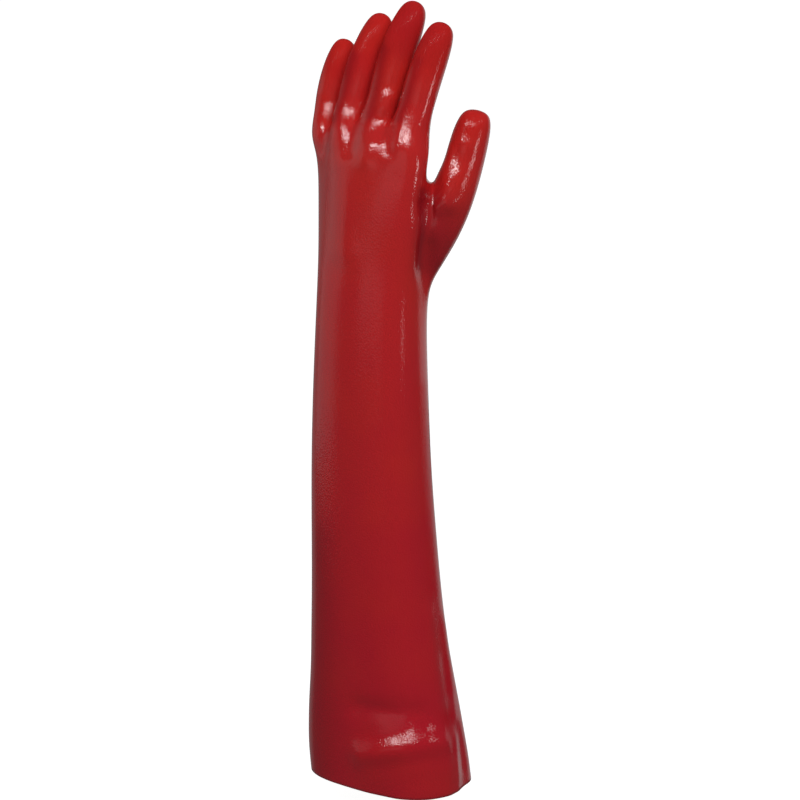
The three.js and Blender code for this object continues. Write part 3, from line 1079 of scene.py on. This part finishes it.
# Knitted unbleached cotton gives the eye a matt, warm white with a fine grain of stitches
@dataclass(frozen=True)
class CottonJersey:
    """The plain cotton jersey inside.

    stitch is the width of one stitch, and stitch_depth how high it stands.
    """

    colour: str = "cbbfae"
    roughness: float = 0.9
    stitch: float = 1.4 * MM
    stitch_detail: float = 2.0
    stitch_depth: float = 0.2 * MM

    def build(self) -> bpy.types.Material:
        """Makes the jersey's material.

        Returns:
            The material.
        """
        material = new_material("cotton_jersey")
        tree = NodeTree(material.node_tree)
        place = tree.add("ShaderNodeTexCoord").outputs["Object"]
        grain = tree.add("ShaderNodeTexNoise", {"Vector": place, "Scale": 1 / self.stitch,
                                                "Detail": self.stitch_detail})
        bump = tree.add("ShaderNodeBump", {"Height": grain.outputs["Fac"], "Distance": self.stitch_depth})
        shader = tree.add("ShaderNodeBsdfPrincipled", {"Base Color": linear(self.colour),
                                                       "Roughness": self.roughness,
                                                       "Normal": bump.outputs["Normal"]})
        tree.add("ShaderNodeOutputMaterial", {"Surface": shader.outputs["BSDF"]})
        return material


# Matt paper that glows, so that the ground is as white and even as the photograph's
@dataclass(frozen=True)
class PalePaper:
    """The studio's paper floor."""

    colour: str = "b0b0b0"
    roughness: float = 0.9
    glow_colour: str = "ffffff"
    glow: float = 0.93

    def build(self) -> bpy.types.Material:
        """Makes the floor's material.

        Returns:
            The material.
        """
        material = new_material("pale_floor")
        tree = NodeTree(material.node_tree)
        shader = tree.add("ShaderNodeBsdfPrincipled", {"Base Color": linear(self.colour),
                                                       "Roughness": self.roughness,
                                                       "Emission Color": linear(self.glow_colour),
                                                       "Emission Strength": self.glow})
        tree.add("ShaderNodeOutputMaterial", {"Surface": shader.outputs["BSDF"]})
        return material


@dataclass(frozen=True)
class Softbox:
    """A soft rectangular light that faces the glove.

    turn is its place in degrees to the right of the camera, as the camera sees it, and elevation in degrees
    above the horizon. distance is measured from the height aim above the cuff's middle. glow is its radiance.
    """

    name: str
    turn: float
    elevation: float
    distance: float
    width: float
    height: float
    glow: float
    aim: float
    use: Use


SOFTBOXES = (
    Softbox("left_softbox", -104, 0, 1.2, 0.98, 1.0, 0.36, 0.48, Use.SHEEN),
    Softbox("left_card", -155, 0, 1.6, 1.5, 1.8, 0.12, 0.2, Use.SHEEN),
    Softbox("right_card", 142, 0, 1.6, 1.8, 1.2, 0.6, 0.54, Use.SHEEN),
    Softbox("low_right_card", 158, 0, 1.6, 1.8, 0.6, 0.4, -0.4, Use.SHEEN),
    Softbox("front_card", -32, 0, 1.6, 1.5, 0.6, 0.3, 0.48, Use.SHEEN),
    Softbox("finger_strip", 56, -13, 0.7, 0.08, 0.17, 8, 0.545, Use.SHEEN),
    Softbox("key_softbox", -28, 36, 4.0, 5.0, 0.85, 3.2, 0.5, Use.SHEEN),
    Softbox("key_core", -28, 36, 3.9, 4.6, 0.26, 20, 0.5, Use.SHEEN),
    Softbox("right_key", 30, 38, 1.6, 1.2, 0.2, 4, 0.4, Use.SHEEN),
    Softbox("front_fill", 8, 35, 1.6, 1.5, 1.2, 3.3, 0.7, Use.FILL),
)


@dataclass
class Studio:
    """The camera, the lights and the pale floor.

    azimuth and elevation are the camera's, in degrees, and it looks at target from distance. lens and sensor
    are in millimetres. room_sheen is the room's own light, and room_fill what is added to it for the colour
    alone.
    """

    azimuth: float = 36
    elevation: float = 12
    distance: float = 1.8
    target: Vector = Vector((8.98 * MM, 0, 301.23 * MM))
    lens: float = 106.67
    sensor: float = 36
    clip_end: float = 100
    floor_drop: float = 25 * MM
    floor_size: float = 80
    room_fill: float = 0.2
    room_sheen: float = 0.1

    def toward(self, turn: float, elevation: float) -> Vector:
        """The direction from the glove to a place in the studio.

        Args:
            turn: degrees to the right of the camera, as the camera sees it.
            elevation: degrees above the horizon.

        Returns:
            The direction, of length 1.
        """
        plan = math.radians(self.azimuth + turn)
        up = math.radians(elevation)
        return Vector((math.sin(plan) * math.cos(up), -math.cos(plan) * math.cos(up), math.sin(up)))

    def axes(self) -> tuple[Vector, Vector, Vector]:
        """The camera's own directions.

        Returns:
            Forward, right and up.
        """
        plan, up = math.radians(self.azimuth), math.radians(self.elevation)
        forward = Vector((-math.sin(plan) * math.cos(up), math.cos(plan) * math.cos(up), -math.sin(up)))
        right = Vector((math.cos(plan), math.sin(plan), 0))
        return forward, right, right.cross(forward)

    @property
    def pixel(self) -> float:
        """The length that one pixel of the photograph spans at the glove."""
        return self.distance * self.sensor / self.lens / PICTURE

    def project(self, points: np.ndarray, normals: np.ndarray) -> tuple[np.ndarray, np.ndarray]:
        """The pixels of the photograph where points lie.

        Args:
            points: places on the glove.
            normals: the surface's directions there.

        Returns:
            Each point's pixel, and how far it faces the camera, from -1 to 1.
        """
        forward, right, up = (np.array(axis) for axis in self.axes())
        seen = points - (np.array(self.target) - forward * self.distance)
        scale = self.lens / self.sensor * PICTURE / (seen @ forward)
        middle = PICTURE / 2
        pixels = np.stack([middle + seen @ right * scale, middle - seen @ up * scale], axis=1)
        return pixels, -(normals @ forward)

    def add_camera(self) -> None:
        """Sets the camera at the photograph's viewing angle."""
        camera = bpy.data.objects.new("camera", bpy.data.cameras.new("camera"))
        bpy.context.scene.collection.objects.link(camera)
        camera.data.lens = self.lens
        camera.data.sensor_width = self.sensor
        camera.data.clip_end = self.clip_end
        forward = self.axes()[0]
        camera.location = self.target - forward * self.distance
        camera.rotation_euler = forward.to_track_quat("-Z", "Y").to_euler()
        bpy.context.scene.camera = camera

    def add_softbox(self, box: Softbox) -> None:
        """Adds a soft light that faces the glove.

        Args:
            box: the light's place, size, radiance and use.
        """
        light = bpy.data.lights.new(box.name, "AREA")
        light.shape = "RECTANGLE"
        light.size, light.size_y = box.width, box.height
        light.energy = box.glow * math.pi * box.width * box.height
        place = bpy.data.objects.new(box.name, light)
        bpy.context.scene.collection.objects.link(place)
        direction = self.toward(box.turn, box.elevation)
        place.location = Vector((0, 0, box.aim)) + direction * box.distance
        place.rotation_euler = (-direction).to_track_quat("-Z", "Y").to_euler()
        place.visible_camera = False
        place.visible_glossy = box.use is Use.SHEEN
        place.visible_diffuse = box.use is Use.FILL

    def add_lights(self) -> None:
        """Lights the glove, before a white ground that only the camera sees at its full strength."""
        for box in SOFTBOXES:
            self.add_softbox(box)
        world = bpy.data.worlds.new("studio")
        world.use_nodes = True
        tree = NodeTree(world.node_tree)
        ray = tree.add("ShaderNodeLightPath")
        room = tree.add("ShaderNodeMath", {0: ray.outputs["Is Diffuse Ray"], 1: self.room_fill,
                                           2: self.room_sheen}, operation="MULTIPLY_ADD")
        amount = tree.add("ShaderNodeMath", {0: ray.outputs["Is Camera Ray"], 1: room.outputs[0]},
                          operation="MAXIMUM")
        sky = tree.add("ShaderNodeBackground", {"Color": linear("ffffff"), "Strength": amount.outputs[0]})
        tree.add("ShaderNodeOutputWorld", {"Surface": sky.outputs[0]})
        bpy.context.scene.world = world
        bpy.context.scene.view_settings.view_transform = "Standard"

    def add_floor(self) -> None:
        """Adds the pale floor, below the glove, which hangs as the photograph shows it."""
        deselect_all()
        bpy.ops.mesh.primitive_plane_add(size=self.floor_size, location=(0, 0, -self.floor_drop))
        floor = bpy.context.object
        floor.name = "floor"
        floor.data.materials.append(PalePaper().build())
        floor.visible_glossy = False
        floor.visible_diffuse = False


def main() -> None:
    """Builds the glove and the studio, and reports each piece."""
    logging.basicConfig(level=logging.INFO, format="%(name)s: %(message)s")
    deselect_all()
    studio = Studio()
    studio.add_camera()
    glove = GloveShell().build(studio)
    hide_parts(GLOVE_NODE)
    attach(glove, BODY)
    LOG.info("%s: %d faces", glove.name, len(glove.data.polygons))
    studio.add_lights()
    studio.add_floor()


if __name__ == "__main__":
    main()
